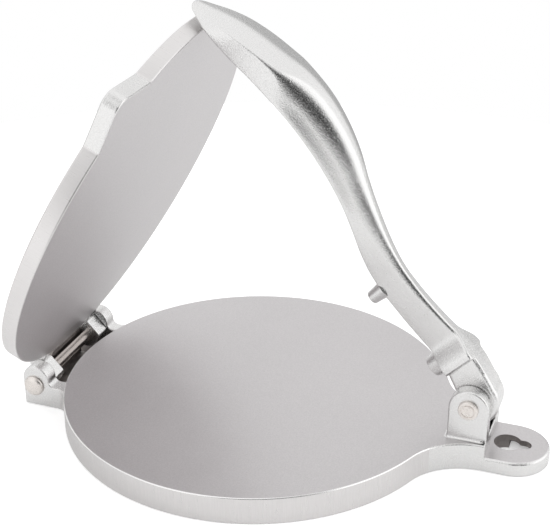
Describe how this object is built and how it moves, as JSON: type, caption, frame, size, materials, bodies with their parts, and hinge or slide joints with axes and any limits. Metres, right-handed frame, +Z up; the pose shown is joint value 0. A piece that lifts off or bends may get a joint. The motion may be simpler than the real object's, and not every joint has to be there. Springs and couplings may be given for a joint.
{
  "type": "tortilla press",
  "caption": "Hand press for flat breads: round base, hinged top plate and a long pressing lever, standing open with the plate leaning on the lever.",
  "frame": {"origin": "middle of the round base's underside, on the table", "axes": "+X along both pivots, +Y towards the plate hinge, -Y towards the lever and the hanging tab, +Z up"},
  "size_m": [0.201, 0.2693, 0.2122],
  "materials": {
    "base": "satin ground casting",
    "top_plate": "satin ground casting",
    "lever": "tumbled and polished casting",
    "pins": "plated steel"
  },
  "bodies": {
    "base": {"base": "base", "lever_pin": "pins"},
    "hinge_rod": {"hinge_rod": "pins"},
    "top_plate": {"top_plate": "top_plate"},
    "lever": {"lever": "lever"}
  },
  "joints": [
    {"name": "plate_swing", "type": "hinge", "parent": "base", "child": "hinge_rod", "pos_m": [0, 0.1106, 0.0117], "axis": [1, 0, 0], "range_deg": [0, 64]},
    {"name": "plate_tilt_back", "type": "hinge", "parent": "hinge_rod", "child": "top_plate", "pos_m": [0, 0.1106, 0.0117], "axis": [1, 0, 0], "range_deg": [-46, 0]},
    {"name": "lever_swing", "type": "hinge", "parent": "base", "child": "lever", "pos_m": [0, -0.1135, 0.031], "axis": [1, 0, 0], "range_deg": [0, 115.2]}
  ],
  "couplings": [
    {"joint": "lever_swing", "follows": "plate_swing", "ratio": 1.8}
  ]
}
